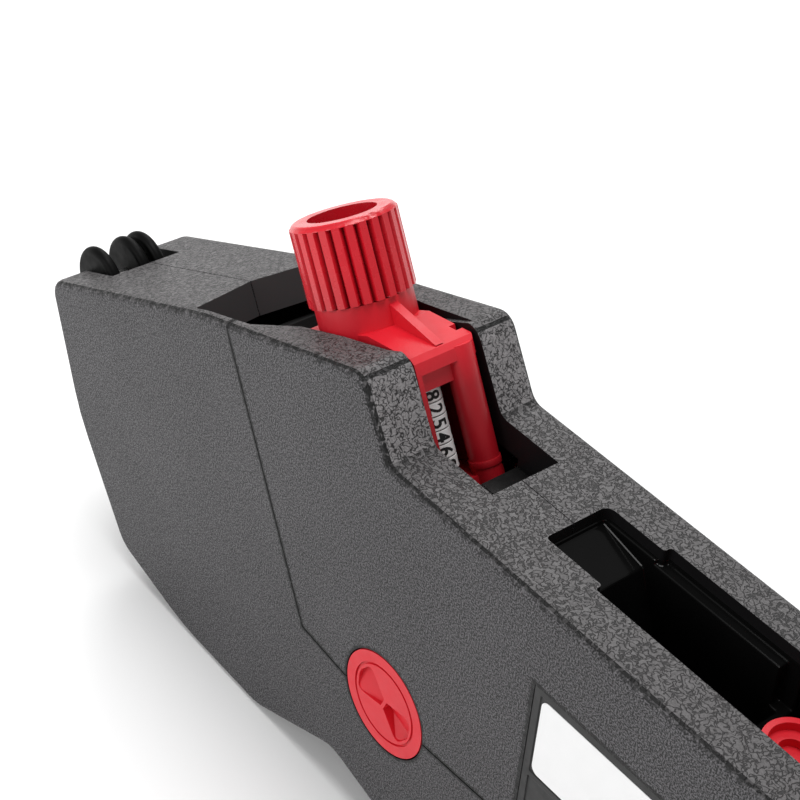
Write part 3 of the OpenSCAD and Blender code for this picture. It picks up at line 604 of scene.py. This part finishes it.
def band_loop(node):
    """Outer path of a band in the head's frame: x and y, anticlockwise from the window."""
    points = set()
    for v in frame["nodes"][node].data.vertices:
        x, y, _ = in_head(v.co)
        points.add((round(x, 3), round(y, 3)))
    points = sorted(points)

    def half_hull(run):
        hull = []
        for p in run:
            while len(hull) > 1 and (
                    (hull[-1][0] - hull[-2][0]) * (p[1] - hull[-2][1])
                    - (hull[-1][1] - hull[-2][1]) * (p[0] - hull[-2][0])) <= 0:
                hull.pop()
            hull.append(p)
        return hull[:-1]

    loop = half_hull(points) + half_hull(points[::-1])
    first = max(range(len(loop)), key=lambda i: loop[i][0] - WINDOW_TILT * loop[i][1])
    return [Vector(p) for p in loop[first:] + loop[:first]]


def stretches(loop):
    """The straight stretches of a closed loop, each by its two ends."""
    return list(zip(loop, loop[1:] + loop[:1]))


def length_round(loop):
    return sum((b - a).length for a, b in stretches(loop))


def along(loop, distance):
    """Point and outward normal of a loop at a distance along it."""
    left = distance % length_round(loop)
    for a, b in stretches(loop):
        step = (b - a).length
        if left <= step:
            way = (b - a) / step
            return a + way * left, Vector((way.y, -way.x))
        left -= step
    return loop[0], Vector((1, 0))


def glyph(text):
    """Mesh vertices and faces of one digit, centred and sized for the bands, in millimetres."""
    curve = bpy.data.curves.new("glyph", "FONT")
    curve.body = text
    curve.size = 1.0
    curve.align_x = "CENTER"
    curve.align_y = "CENTER"
    curve.resolution_u = GLYPH_STEPS
    curve.offset = GLYPH_BOLD
    holder = in_scene("glyph", curve)
    bpy.context.view_layer.update()
    mesh = holder.evaluated_get(bpy.context.evaluated_depsgraph_get()).to_mesh()
    bm = bmesh.new()
    bm.from_mesh(mesh)
    bpy.data.objects.remove(holder)
    bpy.data.curves.remove(curve)
    # cut across, so that the digit can follow the band's bend
    for k in range(-GLYPH_CUTS, GLYPH_CUTS):
        bmesh.ops.bisect_plane(
            bm, geom=bm.verts[:] + bm.edges[:] + bm.faces[:],
            plane_co=(0, k / GLYPH_CUTS, 0), plane_no=(0, 1, 0))
    bm.verts.index_update()
    verts = [v.co.copy() for v in bm.verts]
    faces = [tuple(v.index for v in face.verts) for face in bm.faces]
    bm.free()
    top = max(v.y for v in verts)
    foot = min(v.y for v in verts)
    tall = DIGIT_H / (top - foot)
    wide = tall * DIGIT_NARROW
    return [Vector((v.x * wide, (v.y - (top + foot) / 2) * tall, 0)) for v in verts], faces


def band_digits():
    """Ten digits, over and over, printed on each band; SETTING is what the window shows."""
    bm = bmesh.new()
    glyphs = {str(d): glyph(str(d)) for d in range(10)}
    for number, shown in enumerate(SETTING, start=1):
        node = f"number_band_{number}"
        loop = band_loop(node)
        low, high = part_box(node)
        middle = ((low + high) / 2 - KNOB).dot(HEAD_Z) / MM
        total = length_round(loop)
        count = int(total / DIGIT_STEP)
        for k in range(count):
            verts, faces = glyphs[str((int(shown) + k) % 10)]
            made = []
            for v in verts:
                spot, out = along(loop, WINDOW_AT + total * k / count + v.y)
                spot = spot + out * DIGIT_LIFT
                made.append(bm.verts.new(
                    KNOB + (HEAD_X * spot.x + HEAD_Y * spot.y + HEAD_Z * (middle - v.x)) * MM))
            for face in faces:
                bm.faces.new([made[i] for i in face])
    obj = mesh_object("band_digits", bm, PRINT)
    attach(obj, "print_head")


band_digits()


# Blank label in the upper field of the side panel

LABEL_INSET = 1.9
LABEL_H = 17.4
LABEL_R = 1.6
LABEL_T = 0.12
FIELD_DEPTH = 0.25
CORNER_STEPS = 6


def blank_label():
    low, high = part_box("label_panel")
    x0 = low.x + LABEL_INSET * MM
    x1 = high.x - LABEL_INSET * MM
    z1 = high.z - LABEL_INSET * MM
    z0 = z1 - LABEL_H * MM
    y = low.y + FIELD_DEPTH * MM
    r = LABEL_R * MM
    corners = (
        (x1 - r, z1 - r, 0), (x0 + r, z1 - r, 90), (x0 + r, z0 + r, 180), (x1 - r, z0 + r, 270))
    bm = bmesh.new()
    back, front = [], []
    for cx, cz, start in corners:
        for k in range(CORNER_STEPS + 1):
            a = math.radians(start + 90 * k / CORNER_STEPS)
            x, z = cx + r * math.cos(a), cz + r * math.sin(a)
            back.append(bm.verts.new((x, y, z)))
            front.append(bm.verts.new((x, y - LABEL_T * MM, z)))
    bm.faces.new(front)
    bm.faces.new(back[::-1])
    for (b0, b1), (f0, f1) in zip(stretches(back), stretches(front)):
        bm.faces.new((b0, b1, f1, f0))
    obj = mesh_object("blank_label", bm, PAPER)
    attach(obj, "housing")


blank_label()


# Floor, light and camera

def floor():
    bm = bmesh.new()
    bmesh.ops.create_grid(bm, x_segments=2, y_segments=2, size=FLOOR_SIZE)
    f = Finish("floor", Roughness=0.9, Specular_IOR_Level=0.1)
    f.colour(f.noise(3, detail=2.0), grey(0.93), grey(0.95))
    obj = mesh_object("floor", bm, f.mat)


def soft_sun(name, toward, strength, spread):
    """Even light over the whole floor, from a disc of sky that spans spread degrees."""
    data = bpy.data.lights.new(name, "SUN")
    data.energy = strength
    data.angle = math.radians(spread)
    obj = in_scene(name, data)
    obj.location = toward
    obj.rotation_euler = (-Vector(toward)).to_track_quat("-Z", "Y").to_euler()


def studio():
    world = bpy.data.worlds.new("studio")
    bpy.context.scene.world = world
    world.use_nodes = True
    background = world.node_tree.nodes["Background"]
    background.inputs["Color"].default_value = (1, 1, 1, 1)
    background.inputs["Strength"].default_value = WORLD_STRENGTH
    for sun in SUNS:
        soft_sun(*sun)


def camera():
    data = bpy.data.cameras.new("camera")
    data.sensor_fit = "HORIZONTAL"
    data.sensor_width = SENSOR
    data.lens = FOCAL_PIXELS / FRAME_PIXELS * SENSOR
    data.clip_start, data.clip_end = CAMERA_CLIP
    obj = in_scene("camera", data)
    right = Vector(CAMERA_RIGHT).normalized()
    back = -Vector(CAMERA_FORWARD).normalized()
    up = back.cross(right).normalized()
    right = up.cross(back)
    turn = Matrix((right, up, back)).transposed().to_4x4()
    obj.matrix_world = Matrix.Translation(place(*CAMERA_AT)) @ turn
    bpy.context.scene.camera = obj


floor()
studio()
camera()
bpy.context.scene.view_settings.view_transform = "Standard"
